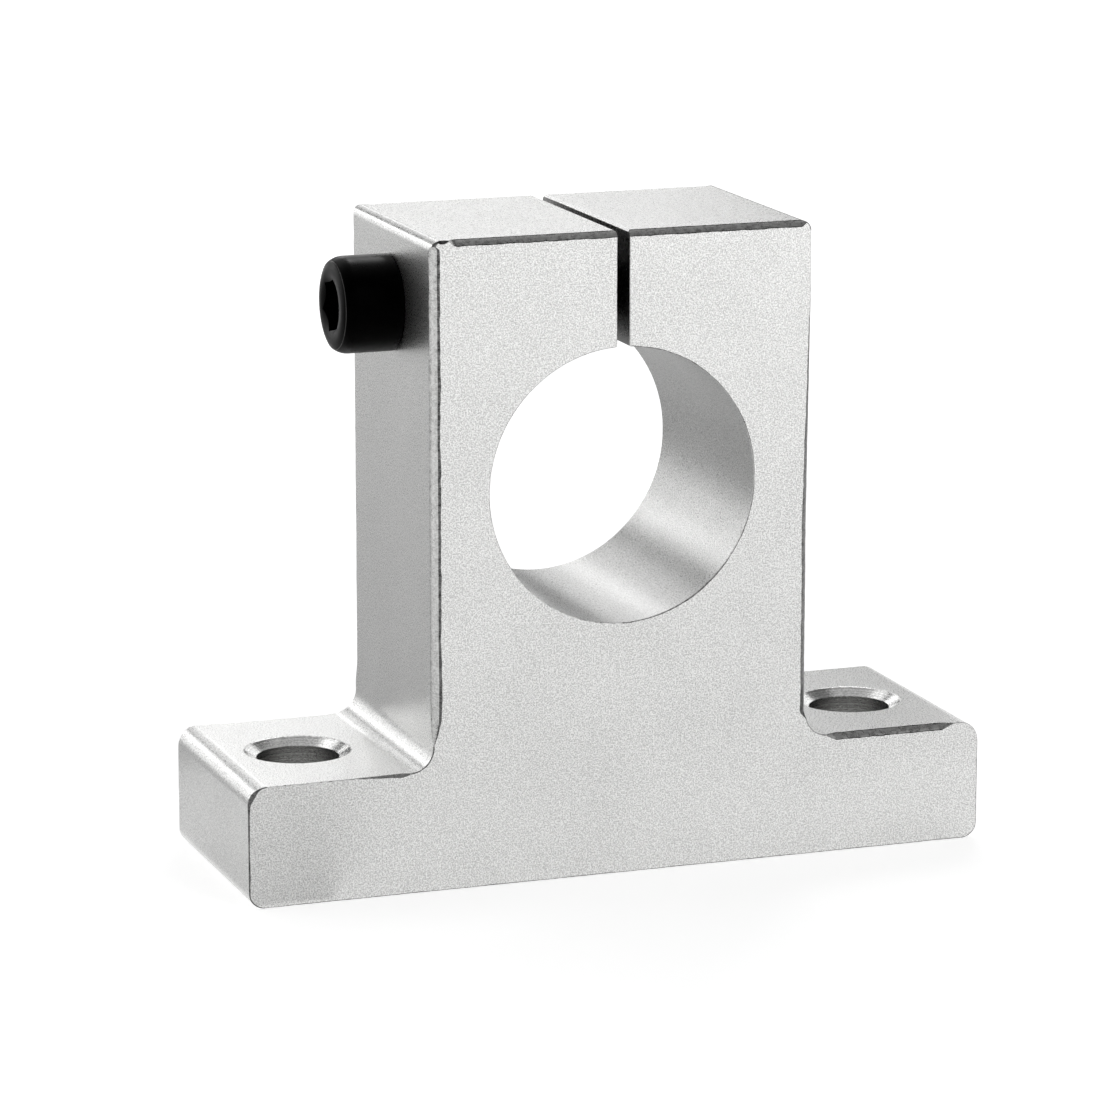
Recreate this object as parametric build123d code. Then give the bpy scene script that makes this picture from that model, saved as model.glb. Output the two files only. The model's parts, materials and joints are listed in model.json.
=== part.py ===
from build123d import *
import os

# Clamping support for a round shaft: a T-shaped aluminium block whose bore is slit to the top,
# and the cap screw that draws the two cheeks of the slit together.
# Millimetres. The origin is the middle of the block's underside, below the shaft. +X runs along
# the base, away from the head of the screw, +Y runs along the shaft and +Z is up.

# Extruded section of the block, seen along the shaft
base_length = 98.0
foot_thickness = 15.5
upright_width = 50.0
land_over_bore = 14.5
foot_corner_radius = 2.0
top_corner_radius = 1.0
inner_corner_radius = 3.0

# Length sawn from the extrusion, and how far the sawn edges are filed back
block_depth = 32.0
sawn_edge_break = 0.5

# Bore for the shaft, and the slit above it
shaft_dia = 35.0
shaft_height = 50.0
bore_edge_break = 0.3
slit_width = 1.6
slit_edge_break = 0.3

# Fixing holes, one in each foot
hole_spacing = 75.5
base_bolt_dia = 10.0
base_bolt_play = 0.5
countersink_dia = 13.2
underside_edge_break = 0.3

# Clamp screw
thread_dia = 8.0
screw_length = 40.0
thread_lead_in = 0.9
head_dia = 12.2
head_height = 7.9
head_rim_radius = 1.9
head_seat_chamfer = 0.3
socket_flats = 6.1
socket_depth = 4.0
socket_mouth_dia = 7.3
socket_mouth_depth = 0.35
socket_drill_angle = 120.0
socket_turn = 45.0

# Seat of the screw in the block. Both plays are on the diameter.
web_over_bore = 0.3
clearance_hole_play = 0.4
clearance_hole_mouth = 0.3
thread_play = 0.1
tapped_hole_mouth = 0.6

# Places that follow from the sizes
half_upright = upright_width / 2
bore_radius = shaft_dia / 2
bore_top = shaft_height + bore_radius
block_height = bore_top + land_over_bore
fixing_hole_radius = (base_bolt_dia + base_bolt_play) / 2
clearance_hole_radius = (thread_dia + clearance_hole_play) / 2
tapped_hole_radius = (thread_dia + thread_play) / 2
screw_height = bore_top + web_over_bore + clearance_hole_radius

right_angle = 90.0
tolerance = 1e-3


def blank():
    """T section with its corner radii, sawn to length, with both sawn outlines broken."""
    foot = Pos(0, foot_thickness / 2) * RectangleRounded(
        base_length, foot_thickness, foot_corner_radius
    )
    upright = Pos(0, block_height / 2) * RectangleRounded(
        upright_width, block_height, top_corner_radius
    )
    section = foot + upright
    inner_corners = section.vertices().filter_by(
        lambda v: abs(v.Y - foot_thickness) < tolerance
        and abs(abs(v.X) - half_upright) < tolerance
    )
    section = fillet(inner_corners, inner_corner_radius)
    sawn = extrude(Plane.XZ * section, block_depth / 2, both=True)
    outlines = sawn.faces().filter_by(Axis.Y).edges()
    return chamfer(outlines, sawn_edge_break)


def with_bore(block):
    """Bore the shaft's hole right through, and break its two rims."""
    circle = Pos(0, shaft_height) * Circle(bore_radius)
    bored = block - extrude(Plane.XZ * circle, block_depth / 2, both=True)
    rims = bored.edges().filter_by(GeomType.CIRCLE)
    rims = rims.filter_by(lambda e: abs(e.radius - bore_radius) < tolerance)
    return chamfer(rims, bore_edge_break)


def with_slit(block):
    """Saw the slit from the top down into the bore, a little wider at its mouth."""
    half_slit = slit_width / 2
    half_mouth = half_slit + slit_edge_break
    shoulder = block_height - slit_edge_break
    outline = Polyline(
        (-half_slit, shaft_height),
        (half_slit, shaft_height),
        (half_slit, shoulder),
        (half_mouth, block_height),
        (-half_mouth, block_height),
        (-half_slit, shoulder),
        close=True,
    )
    return block - extrude(Plane.XZ * make_face(outline), block_depth / 2, both=True)


def with_fixing_holes(block):
    """Drill and countersink each foot from above, and break the rims underneath."""
    hole = CounterSinkHole(
        fixing_hole_radius, countersink_dia / 2, foot_thickness, right_angle
    )
    for side in (-1, 1):
        block = block - Pos(side * hole_spacing / 2, 0, foot_thickness) * hole
    rims = block.edges().filter_by(GeomType.CIRCLE).group_by(Axis.Z)[0]
    return chamfer(rims, underside_edge_break)


def with_screw_passage(block):
    """Drill for the screw: a clearance hole in the cheek under its head, a tapped one beyond."""
    clearance = CounterSinkHole(
        clearance_hole_radius,
        clearance_hole_radius + clearance_hole_mouth,
        half_upright,
        right_angle,
    )
    tapped = CounterSinkHole(
        tapped_hole_radius,
        tapped_hole_radius + tapped_hole_mouth,
        half_upright,
        right_angle,
    )
    left_mouth = Pos(-half_upright, 0, screw_height) * Rot(0, -right_angle, 0)
    right_mouth = Pos(half_upright, 0, screw_height) * Rot(0, right_angle, 0)
    return block - left_mouth * clearance - right_mouth * tapped


def support_block():
    """The aluminium block, in the order that the real one is made."""
    block = with_bore(blank())
    block = with_slit(block)
    block = with_fixing_holes(block)
    return with_screw_passage(block)


def screw_head():
    """Head standing on the plane z = 0: rounded outer rim, small chamfer round its seat."""
    head = Cylinder(head_dia / 2, head_height, align=(Align.CENTER, Align.CENTER, Align.MIN))
    head = fillet(head.edges().group_by(Axis.Z)[-1], head_rim_radius)
    return chamfer(head.edges().group_by(Axis.Z)[0], head_seat_chamfer)


def screw_socket():
    """Cutter for the key's socket: hexagon, drilled point below it, bevel round its mouth."""
    floor = head_height - socket_depth
    hexagon = RegularPolygon(socket_flats / 2, 6, major_radius=False, rotation=socket_turn)
    keyway = Pos(0, 0, floor) * extrude(hexagon, socket_depth)
    point_half_angle = Vector(0, 0, 1).rotate(Axis.Y, socket_drill_angle / 2)
    point_depth = socket_flats / 2 * point_half_angle.Z / point_half_angle.X
    on_top = (Align.CENTER, Align.CENTER, Align.MAX)
    point = Pos(0, 0, floor) * Cone(0, socket_flats / 2, point_depth, align=on_top)
    bevel = Pos(0, 0, head_height) * Cone(
        socket_flats / 2, socket_mouth_dia / 2, socket_mouth_depth, align=on_top
    )
    return keyway + point + bevel


def clamp_screw():
    """Socket-head cap screw, its head bearing on the left side of the upright."""
    below_head = (Align.CENTER, Align.CENTER, Align.MAX)
    shank = Cylinder(thread_dia / 2, screw_length, align=below_head)
    shank = chamfer(shank.edges().group_by(Axis.Z)[0], thread_lead_in)
    screw = screw_head() + shank - screw_socket()
    return Pos(-half_upright, 0, screw_height) * Rot(0, -right_angle, 0) * screw


os.makedirs("parts", exist_ok=True)
export_step(support_block(), "parts/support_block.step")
export_step(clamp_screw(), "parts/clamp_screw.step")
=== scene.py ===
"""Looks of the clamping shaft support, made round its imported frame.

Metres throughout, in the frame's own axes: +X runs along the base, away from the head of the
screw, +Y runs along the shaft and away from the camera, and +Z is up.
"""

from __future__ import annotations

import json
import logging
import math
from dataclasses import dataclass, field, replace
from enum import Enum, IntEnum

import bmesh
import bpy
import numpy as np
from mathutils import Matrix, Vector
from numpy.typing import NDArray

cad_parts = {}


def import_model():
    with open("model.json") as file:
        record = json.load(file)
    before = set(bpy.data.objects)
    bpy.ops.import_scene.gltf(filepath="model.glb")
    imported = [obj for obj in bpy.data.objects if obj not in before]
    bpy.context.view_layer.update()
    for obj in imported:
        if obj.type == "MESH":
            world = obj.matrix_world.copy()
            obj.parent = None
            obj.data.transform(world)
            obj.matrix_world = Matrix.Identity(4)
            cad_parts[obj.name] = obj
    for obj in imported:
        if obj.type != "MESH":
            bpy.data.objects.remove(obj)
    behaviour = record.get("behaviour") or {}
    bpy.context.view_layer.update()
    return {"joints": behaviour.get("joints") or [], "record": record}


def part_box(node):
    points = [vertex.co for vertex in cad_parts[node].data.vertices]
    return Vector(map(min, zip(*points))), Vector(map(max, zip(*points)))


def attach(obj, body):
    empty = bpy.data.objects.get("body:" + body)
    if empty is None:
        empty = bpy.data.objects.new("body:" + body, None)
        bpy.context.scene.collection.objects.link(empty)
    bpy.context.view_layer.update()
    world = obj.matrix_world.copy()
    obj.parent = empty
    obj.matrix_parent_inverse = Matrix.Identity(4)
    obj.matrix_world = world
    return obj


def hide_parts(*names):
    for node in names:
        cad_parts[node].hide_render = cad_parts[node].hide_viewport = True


Floats = NDArray[np.float64]
Ints = NDArray[np.int64]
Pair = tuple[float, float]
Triple = tuple[float, float, float]

log = logging.getLogger("shaft_support")

QUARTER = math.pi / 2
TURN = 2 * math.pi
DIAGONAL = math.sqrt(2.0)
WHITE = (1.0, 1.0, 1.0, 1.0)

# Millimetres in a metre
METRE = 1000.0

# Distance under which two points are one point
SAME_POINT = 2e-7

# Weight at which the largest faces round a corner decide its normal
LARGEST_FACES = 100


class Finish(IntEnum):
    """Finish of a face of the block. The value is the place of its material on the mesh.

    Attributes:
        BLASTED: sandblasted and anodised skin.
        FILED: flat or rim left by a file.
        BURR: painted shade: a dark border of a filed flat, and a rim as dark.
        TURNED: fixing hole and its countersink.
        SAWN: walls of the slit, coloured dark as painted shade inside the narrow slit.
        TAPPED: tapped hole, and the plain hole in line with it.
        SCUFFED: rounding that the file has touched.
        BORED: wall of the shaft's bore, coloured darker than the skin as painted shade.
    """

    BLASTED = 0
    FILED = 1
    BURR = 2
    TURNED = 3
    SAWN = 4
    TAPPED = 5
    SCUFFED = 6
    BORED = 7


class Skin(IntEnum):
    """Skin of a face of the screw. The value is the place of its material on the mesh.

    Attributes:
        BLACK: black oxide.
        RUBBED: black oxide that handling has rubbed thin.
    """

    BLACK = 0
    RUBBED = 1


class Grain(Enum):
    """Make-up of a noise: its octaves, and the weight of each against the one before it.

    Attributes:
        SMOOTH: soft clouds.
        FINE: even grain.
        SHARP: grain with a clear finest octave.
        BROKEN: grain of several sizes.
    """

    SMOOTH = (2.0, 0.5)
    FINE = (2.0, 0.6)
    SHARP = (2.0, 0.7)
    BROKEN = (3.0, 0.6)


class Contrast(Enum):
    """Band of values that is stretched over a whole result. The narrower it is, the harder.

    Attributes:
        HARD: for one noise, with much of it clipped.
        FIRM: for one noise, with some of it clipped.
        SOFT: for one noise, with hardly any of it clipped.
        TWO: for the sum of two noises.
        WHOLE: for a value that goes from 0 to 1.
    """

    HARD = (0.4, 0.6)
    FIRM = (0.35, 0.65)
    SOFT = (0.3, 0.7)
    TWO = (0.75, 1.25)
    WHOLE = (0.0, 1.0)


def grey(level: float) -> tuple[float, float, float, float]:
    """Opaque grey of a level from 0 to 1."""
    return (level, level, level, 1.0)


def waver(place: Floats, length: float, counts: tuple[int, ...], seed: int) -> Floats:
    """Uneven height along a line: a sum of sine waves, as a hand-held file leaves it.

    Each wave fits a whole number of times into the length, so a closed line joins up. Wave k
    has the height 1 / sqrt(k + 1) and a phase drawn from the seed.

    Args:
        place: distance along the line of each point.
        length: length of the whole line.
        counts: how often each wave fits into the length.
        seed: seed of the phases.

    Returns:
        Heights between -1 and 1, in the shape of place.
    """
    phases = np.random.default_rng(seed).uniform(0.0, TURN, len(counts))
    sizes = 1.0 / np.sqrt(np.arange(1, len(counts) + 1))
    angles = TURN * place[..., None] / length * np.array(counts) + phases
    return (np.sin(angles) * sizes).sum(axis=-1) / sizes.sum()


@dataclass
class Shell:
    """Closed surface: a grid of rings, with each end closed by one flat face or a pole.

    Attributes:
        rings: points of the surface, as rows of closed rings, shape (rows, columns, 3).
        finish: finish of the quad that starts at each point, shape (rows - 1, columns).
        ends: finish of the faces that close the first and the last ring.
    """

    rings: Floats
    finish: Ints
    ends: tuple[int, int] = (0, 0)

    def quads(self) -> Ints:
        """Join each ring to the next: a quad from each point to its neighbours.

        Returns:
            Point numbers of the quads, shape (count, 4).
        """
        rows, columns = self.rings.shape[:2]
        row, column = np.meshgrid(np.arange(rows - 1), np.arange(columns), indexing="ij")
        beside = (column + 1) % columns
        corners = [
            row * columns + column,
            row * columns + beside,
            (row + 1) * columns + beside,
            (row + 1) * columns + column,
        ]
        return np.stack(corners, axis=-1).reshape(-1, 4)

    def piece(self, name: str, materials: list[bpy.types.Material]) -> bpy.types.Object:
        """Put the surface into an object at the origin.

        Args:
            name: name of the object and its mesh.
            materials: materials in the order of the finish numbers.

        Returns:
            The object, with its doubles merged and its faces outward.
        """
        rows, columns = self.rings.shape[:2]
        first = list(range(columns))
        last = [(rows - 1) * columns + number for number in first]
        mesh = bpy.data.meshes.new(name)
        mesh.from_pydata(self.rings.reshape(-1, 3), [], self.quads().tolist() + [first, last])
        for material in materials:
            mesh.materials.append(material)
        finishes = np.append(self.finish.ravel(), self.ends).astype(np.int32)
        mesh.polygons.foreach_set("material_index", finishes)
        closed = bmesh.new()
        closed.from_mesh(mesh)
        bmesh.ops.remove_doubles(closed, verts=closed.verts, dist=SAME_POINT)
        bmesh.ops.recalc_face_normals(closed, faces=closed.faces)
        closed.to_mesh(mesh)
        closed.free()
        made = bpy.data.objects.new(name, mesh)
        bpy.context.scene.collection.objects.link(made)
        return made


def applied(piece: bpy.types.Object) -> None:
    """Give the object the mesh that its modifiers make, and take the modifiers off.

    Args:
        piece: the object.
    """
    bpy.context.view_layer.update()
    seen = piece.evaluated_get(bpy.context.evaluated_depsgraph_get())
    mesh = bpy.data.meshes.new_from_object(seen)
    mesh.name = piece.name
    piece.modifiers.clear()
    piece.data = mesh


def cut(piece: bpy.types.Object, cutters: list[bpy.types.Object]) -> None:
    """Cut each cutter out of the piece. A cut face keeps the finish number of its cutter.

    Args:
        piece: the solid that is cut.
        cutters: solids to take away. They are deleted.
    """
    for cutter in cutters:
        tool = piece.modifiers.new(cutter.name, "BOOLEAN")
        tool.operation = "DIFFERENCE"
        tool.solver = "EXACT"
        tool.material_mode = "INDEX"
        tool.object = cutter
    applied(piece)
    for cutter in cutters:
        mesh = cutter.data
        bpy.data.objects.remove(cutter)
        bpy.data.meshes.remove(mesh)


def shade(piece: bpy.types.Object, sharp_degrees: float) -> None:
    """Smooth the piece except at edges that turn more than an angle. Flat faces stay flat.

    Args:
        piece: the object to shade.
        sharp_degrees: angle between two faces above which their edge is sharp.
    """
    mesh = piece.data
    mesh.polygons.foreach_set("use_smooth", np.ones(len(mesh.polygons), dtype=bool))
    mesh.set_sharp_from_angle(angle=math.radians(sharp_degrees))
    weighted = piece.modifiers.new("weighted", "WEIGHTED_NORMAL")
    weighted.mode = "FACE_AREA"
    weighted.weight = LARGEST_FACES
    weighted.keep_sharp = True
    applied(piece)


def wound(
    heights: Floats,
    radii: Floats,
    centre: Triple,
    axis: Triple,
    finish: Ints,
    ends: tuple[int, int] = (0, 0),
) -> Shell:
    """Surface round an axis whose radius may change with both the height and the angle.

    A point is centre + height * axis + radius * (cos a * u + sin a * v), where u, v and the
    axis are a right-handed set, u is +Y for an axis along X and +X for one along Z, and the
    angle a goes once round in equal steps, one for each column.

    Args:
        heights: height of each ring, shape (rows,), or of each point, shape (rows, columns).
        radii: radius of each point, shape (rows, columns).
        centre: point on the axis where the height is nought.
        axis: direction of the axis, of length one.
        finish: finish of each band between two rings, shape (rows - 1,).
        ends: finish of the two end faces.

    Returns:
        The closed surface.
    """
    angles = np.arange(radii.shape[1]) * TURN / radii.shape[1]
    along = np.array(axis)
    side = np.array((1.0, 0.0, 0.0) if axis[2] else (0.0, 1.0, 0.0))
    up = np.cross(along, side)
    rise = heights if heights.ndim == 2 else heights[:, None] * np.ones(radii.shape[1])
    rings = (
        np.array(centre)
        + rise[..., None] * along
        + (radii * np.cos(angles))[..., None] * side
        + (radii * np.sin(angles))[..., None] * up
    )
    return Shell(rings, np.repeat(finish[:, None], radii.shape[1], axis=1), ends)


def turned(
    profile: list[Pair], centre: Triple, axis: Triple, around: int, finish: list[Finish]
) -> Shell:
    """Surface of revolution: the profile's (height, radius) points carried round an axis.

    Args:
        profile: (height, radius) from the first end to the last.
        centre: point on the axis where the height is nought.
        axis: direction of the axis, of length one.
        around: points round a ring.
        finish: finish of each stretch of the profile.

    Returns:
        The closed surface.
    """
    heights, radii = np.array(profile).T
    return wound(heights, radii[:, None] * np.ones(around), centre, axis, np.array(finish))


@dataclass(frozen=True)
class Thread:
    """Right-hand metric thread of V form with flat crests and roots.

    Attributes:
        pitch: rise in one turn.
        depth: height of the thread.
        crest: share of the pitch that the screw's flat crest takes.
        root: share of the pitch that its flat root takes.
        steps: rows in one pitch.
    """

    pitch: float = 0.00125
    depth: float = 0.00068
    crest: float = 0.125
    root: float = 0.25
    steps: int = 14

    def rows(self, start: float, end: float) -> Floats:
        """Heights from start to end, a step of the pitch apart."""
        count = math.ceil(abs(end - start) / self.pitch * self.steps)
        return np.linspace(start, end, count + 1)

    def sunk(self, heights: Floats, around: int) -> Floats:
        """Depth of the screw's surface below its crests.

        The distance from the crest, in turns, is the fold of height / pitch - angle / turn
        into 0 to 1/2. Half the crest is taken off it, and it is stretched over the flank.

        Args:
            heights: heights along the axis, shape (rows,).
            around: points round a ring.

        Returns:
            Depths, shape (rows, around).
        """
        turns = heights[:, None] / self.pitch - np.arange(around) / around
        away = np.abs((turns + 0.5) % 1.0 - 0.5)
        flank = 0.5 - (self.crest + self.root) / 2
        return self.depth * np.clip((away - self.crest / 2) / flank, 0.0, 1.0)


class NodeSheet:
    """Node tree of one material, with short calls that add nodes and join them."""

    def __init__(self, name: str, **plain: float) -> None:
        """Start a material with a Principled shader joined to its output.

        Args:
            name: name of the material.
            plain: sockets of the shader that are the same all over, by their names with
                underscores for spaces, in lower case.
        """
        self.material = bpy.data.materials.new(name)
        self.material.use_nodes = True
        self.tree = self.material.node_tree
        self.tree.nodes.clear()
        self.shader = self.tree.nodes.new("ShaderNodeBsdfPrincipled")
        output = self.tree.nodes.new("ShaderNodeOutputMaterial")
        self.join(self.shader.outputs["BSDF"], output.inputs["Surface"])
        self.place = self.tree.nodes.new("ShaderNodeTexCoord").outputs["Object"]
        named = {socket.name.lower().replace(" ", "_"): socket for socket in self.shader.inputs}
        for name_of_socket, value in plain.items():
            named[name_of_socket].default_value = value

    def join(self, source: bpy.types.NodeSocket, target: bpy.types.NodeSocket) -> None:
        """Link one socket to another."""
        self.tree.links.new(source, target)

    def stretched(self, scale: Triple) -> bpy.types.NodeSocket:
        """Object coordinates times a scale for each axis.

        Args:
            scale: repeats per metre along each axis.

        Returns:
            Socket with the stretched coordinates.
        """
        node = self.tree.nodes.new("ShaderNodeMapping")
        node.inputs["Scale"].default_value = scale
        self.join(self.place, node.inputs["Vector"])
        return node.outputs["Vector"]

    def noise(
        self, place: bpy.types.NodeSocket, scale: float, grain: Grain = Grain.SMOOTH
    ) -> bpy.types.NodeSocket:
        """Cloudy noise at a place.

        Args:
            place: socket that gives the place.
            scale: repeats per unit of the place.
            grain: octaves of the noise and their weight.

        Returns:
            Socket with values from 0 to 1, mostly near a half.
        """
        node = self.tree.nodes.new("ShaderNodeTexNoise")
        node.inputs["Scale"].default_value = scale
        node.inputs["Detail"].default_value, node.inputs["Roughness"].default_value = grain.value
        self.join(place, node.inputs["Vector"])
        return node.outputs["Fac"]

    def ranged(
        self, value: bpy.types.NodeSocket, contrast: Contrast, result: Pair
    ) -> bpy.types.NodeSocket:
        """Stretch a band of values over a result, and clip what lies beyond the band.

        Args:
            value: socket with the values.
            contrast: the band.
            result: what the lower and the upper end of the band become.

        Returns:
            Socket with the result.
        """
        node = self.tree.nodes.new("ShaderNodeMapRange")
        names = ("From Min", "From Max", "To Min", "To Max")
        for name, number in zip(names, contrast.value + result):
            node.inputs[name].default_value = number
        self.join(value, node.inputs["Value"])
        return node.outputs["Result"]

    def summed(
        self, first: bpy.types.NodeSocket, second: bpy.types.NodeSocket
    ) -> bpy.types.NodeSocket:
        """Add two values.

        Args:
            first: socket with one value.
            second: socket with the other.

        Returns:
            Socket with their sum.
        """
        node = self.tree.nodes.new("ShaderNodeMath")
        self.join(first, node.inputs[0])
        self.join(second, node.inputs[1])
        return node.outputs["Value"]

    def vector(
        self, operation: str, source: bpy.types.NodeSocket, other: Triple = (0.0, 0.0, 0.0)
    ) -> bpy.types.Node:
        """Work on a vector by one operation.

        Args:
            operation: name of the Vector Math node's operation.
            source: socket with the vector.
            other: fixed second vector, for an operation that has one.

        Returns:
            The node. Its outputs are Vector and Value.
        """
        node = self.tree.nodes.new("ShaderNodeVectorMath")
        node.operation = operation
        node.inputs[1].default_value = other
        self.join(source, node.inputs[0])
        return node

    def tinted(self, brightness: bpy.types.NodeSocket, tint: Triple) -> None:
        """Make the base colour a brightness times a tint.

        Args:
            brightness: socket with the brightness.
            tint: the colour at a brightness of 1.
        """
        node = self.tree.nodes.new("ShaderNodeVectorMath")
        node.operation = "SCALE"
        node.inputs[0].default_value = tint
        self.join(brightness, node.inputs["Scale"])
        self.join(node.outputs["Vector"], self.shader.inputs["Base Color"])

    def roughened(self, value: bpy.types.NodeSocket) -> None:
        """Drive the roughness."""
        self.join(value, self.shader.inputs["Roughness"])

    def bumped(self, height: bpy.types.NodeSocket, depth: float) -> None:
        """Give the surface a relief: a height times a depth.

        Args:
            height: socket with the height, from 0 to 1.
            depth: depth of the relief in metres.
        """
        node = self.tree.nodes.new("ShaderNodeBump")
        node.inputs["Distance"].default_value = depth
        self.join(height, node.inputs["Height"])
        self.join(node.outputs["Normal"], self.shader.inputs["Normal"])


@dataclass(frozen=True)
class BlastedAluminium:
    """Sandblasted and clear anodised: pale matt metal with a fine even grain.

    Attributes:
        name: name of the material.
        tint: colour of the metal at full brightness.
        pit: width of one blast pit.
        cloud: width of the faint clouds that the blasting leaves.
        cloud_depth: how much brighter and darker the clouds are.
        depth: depth of the pits.
        roughness: least and greatest roughness.
        brightness: darkest and brightest grain.
    """

    name: str = "blasted_aluminium"
    tint: Triple = (0.99, 0.99, 0.98)
    pit: float = 0.00018
    cloud: float = 0.012
    cloud_depth: float = 0.012
    depth: float = 0.000016
    roughness: Pair = (0.26, 0.34)
    brightness: Pair = (0.5, 0.86)

    def material(self) -> bpy.types.Material:
        """Make the material.

        Returns:
            The material.
        """
        sheet = NodeSheet(self.name, metallic=1.0)
        grain = sheet.noise(sheet.place, 1.0 / self.pit, Grain.FINE)
        cloud = sheet.noise(sheet.place, 1.0 / self.cloud)
        bright = sheet.ranged(grain, Contrast.HARD, self.brightness)
        faint = sheet.ranged(cloud, Contrast.FIRM, (-self.cloud_depth, self.cloud_depth))
        sheet.tinted(sheet.summed(bright, faint), self.tint)
        sheet.roughened(sheet.ranged(grain, Contrast.FIRM, self.roughness))
        sheet.bumped(grain, self.depth)
        return sheet.material


@dataclass(frozen=True)
class FiledAluminium:
    """Edge filed by hand: strokes along the edge that cross each other.

    Attributes:
        name: name of the material.
        tint: colour of the metal at full brightness.
        stroke: width of one stroke.
        scratch: width of the fine scratches along it.
        draw: how fast the scratches change along +X, as a share of how fast across it.
        depth: depth of the scratches.
        roughness: least and greatest roughness.
        brightness: darkest and brightest stroke, darker than the blasted skin: partly painted shade.
    """

    name: str = "filed_aluminium"
    tint: Triple = (0.99, 0.99, 0.98)
    stroke: float = 0.0006
    scratch: float = 0.0002
    draw: float = 0.3
    depth: float = 0.00002
    roughness: Pair = (0.22, 0.36)
    brightness: Pair = (0.42, 0.72)

    def material(self) -> bpy.types.Material:
        """Make the material.

        Returns:
            The material.
        """
        sheet = NodeSheet(self.name, metallic=1.0)
        strokes = sheet.noise(sheet.place, 1.0 / self.stroke, Grain.BROKEN)
        across = 1.0 / self.scratch
        scratches = sheet.noise(sheet.stretched((self.draw * across, across, across)), 1.0)
        both = sheet.summed(strokes, scratches)
        sheet.tinted(sheet.ranged(both, Contrast.TWO, self.brightness), self.tint)
        sheet.roughened(sheet.ranged(strokes, Contrast.SOFT, self.roughness))
        sheet.bumped(both, self.depth)
        return sheet.material


@dataclass(frozen=True)
class TurnedAluminium:
    """Countersink and hole cut by a turning tool: fine rings round the hole's axis.

    Attributes:
        hole_place: distance of the two holes' axes from the middle of the block.
        tint: colour of the metal at full brightness.
        ring: width of one tool mark.
        ring_share: the same width as a share of the width of the grain over the marks.
        depth: depth of the marks.
        roughness: least and greatest roughness.
        brightness: darkest and brightest mark.
    """

    hole_place: float
    tint: Triple = (0.99, 0.99, 0.98)
    ring: float = 0.0002
    ring_share: float = 0.7
    depth: float = 0.000012
    roughness: Pair = (0.14, 0.24)
    brightness: Pair = (0.6, 0.95)

    def material(self) -> bpy.types.Material:
        """Make the material. The rings follow the distance from the nearer hole's axis.

        Returns:
            The material.
        """
        sheet = NodeSheet("turned_aluminium", metallic=1.0)
        folded = sheet.vector("ABSOLUTE", sheet.place)
        centred = sheet.vector("SUBTRACT", folded.outputs["Vector"], (self.hole_place, 0.0, 0.0))
        level = sheet.vector("MULTIPLY", centred.outputs["Vector"], (1.0, 1.0, 0.0))
        reach = sheet.vector("LENGTH", level.outputs["Vector"])
        height = sheet.vector("DOT_PRODUCT", sheet.place, (0.0, 0.0, 1.0))
        section = sheet.tree.nodes.new("ShaderNodeCombineXYZ")
        sheet.join(reach.outputs["Value"], section.inputs["X"])
        sheet.join(height.outputs["Value"], section.inputs["Z"])
        rings = sheet.noise(section.outputs["Vector"], 1.0 / self.ring, Grain.SHARP)
        grain = sheet.noise(sheet.place, self.ring_share / self.ring, Grain.FINE)
        both = sheet.summed(rings, grain)
        sheet.tinted(sheet.ranged(both, Contrast.TWO, self.brightness), self.tint)
        sheet.roughened(sheet.ranged(rings, Contrast.SOFT, self.roughness))
        sheet.bumped(both, self.depth)
        return sheet.material


@dataclass(frozen=True)
class BlackOxide:
    """Black oxide on steel: a thin dark skin with a satin gloss and a very fine grain.

    Attributes:
        name: name of the material.
        gloss: specular level.
        face_gloss: how much of the gloss is left where the surface is seen face on.
        tint: colour at full brightness.
        grain: width of the grain.
        patch: width of the faint patches where the skin is thicker.
        depth: depth of the grain.
        roughness: least and greatest roughness.
        brightness: darkest and brightest patch.
    """

    name: str = "black_oxide"
    gloss: float = 0.085
    face_gloss: float = 0.045
    tint: Triple = (1.0, 0.98, 0.97)
    grain: float = 0.00015
    patch: float = 0.0016
    depth: float = 0.000004
    roughness: Pair = (0.26, 0.36)
    brightness: Pair = (0.0003, 0.0008)

    def material(self) -> bpy.types.Material:
        """Make the material.

        Returns:
            The material.
        """
        sheet = NodeSheet(self.name, specular_ior_level=self.gloss)
        sheet.shader.inputs["Specular Tint"].default_value = grey(self.face_gloss)
        patches = sheet.noise(sheet.place, 1.0 / self.patch)
        sheet.tinted(sheet.ranged(patches, Contrast.SOFT, self.brightness), self.tint)
        sheet.roughened(sheet.ranged(patches, Contrast.SOFT, self.roughness))
        sheet.bumped(sheet.noise(sheet.place, 1.0 / self.grain, Grain.FINE), self.depth)
        return sheet.material


@dataclass(frozen=True)
class Stretch:
    """Sampled stretch of the section's outline, walked with the metal on the left.

    Attributes:
        points: (x, z) of each point, shape (count, 2). The next stretch begins where it ends.
        inward: direction into the metal at each point, of length one.
        wall: finish of the wall along it.
    """

    points: Floats
    inward: Floats
    wall: Finish = Finish.BLASTED

    def mirrored(self) -> Stretch:
        """The same stretch on the other side of the middle plane, walked the other way."""
        flip = np.array([-1.0, 1.0])
        return replace(self, points=self.points[::-1] * flip, inward=self.inward[::-1] * flip)


@dataclass(frozen=True)
class Rim:
    """Broken edge between a stretch of the outline and the two sawn ends.

    Attributes:
        finish: finish of the rim.
        widths: its width at even steps along the stretch, as shares of the usual edge break.
        burr: whether its border with the sawn end is dark: painted shade.
    """

    finish: Finish = Finish.FILED
    widths: tuple[float, ...] = (1.0,)
    burr: bool = False

    def mirrored(self) -> Rim:
        """The same rim, walked the other way."""
        return replace(self, widths=self.widths[::-1])

    def spread(self, count: int) -> Floats:
        """Its width at a number of points along the stretch."""
        knots = np.linspace(0.0, 1.0, len(self.widths))
        return np.interp(np.linspace(0.0, 1.0, count, endpoint=False), knots, self.widths)


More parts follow.
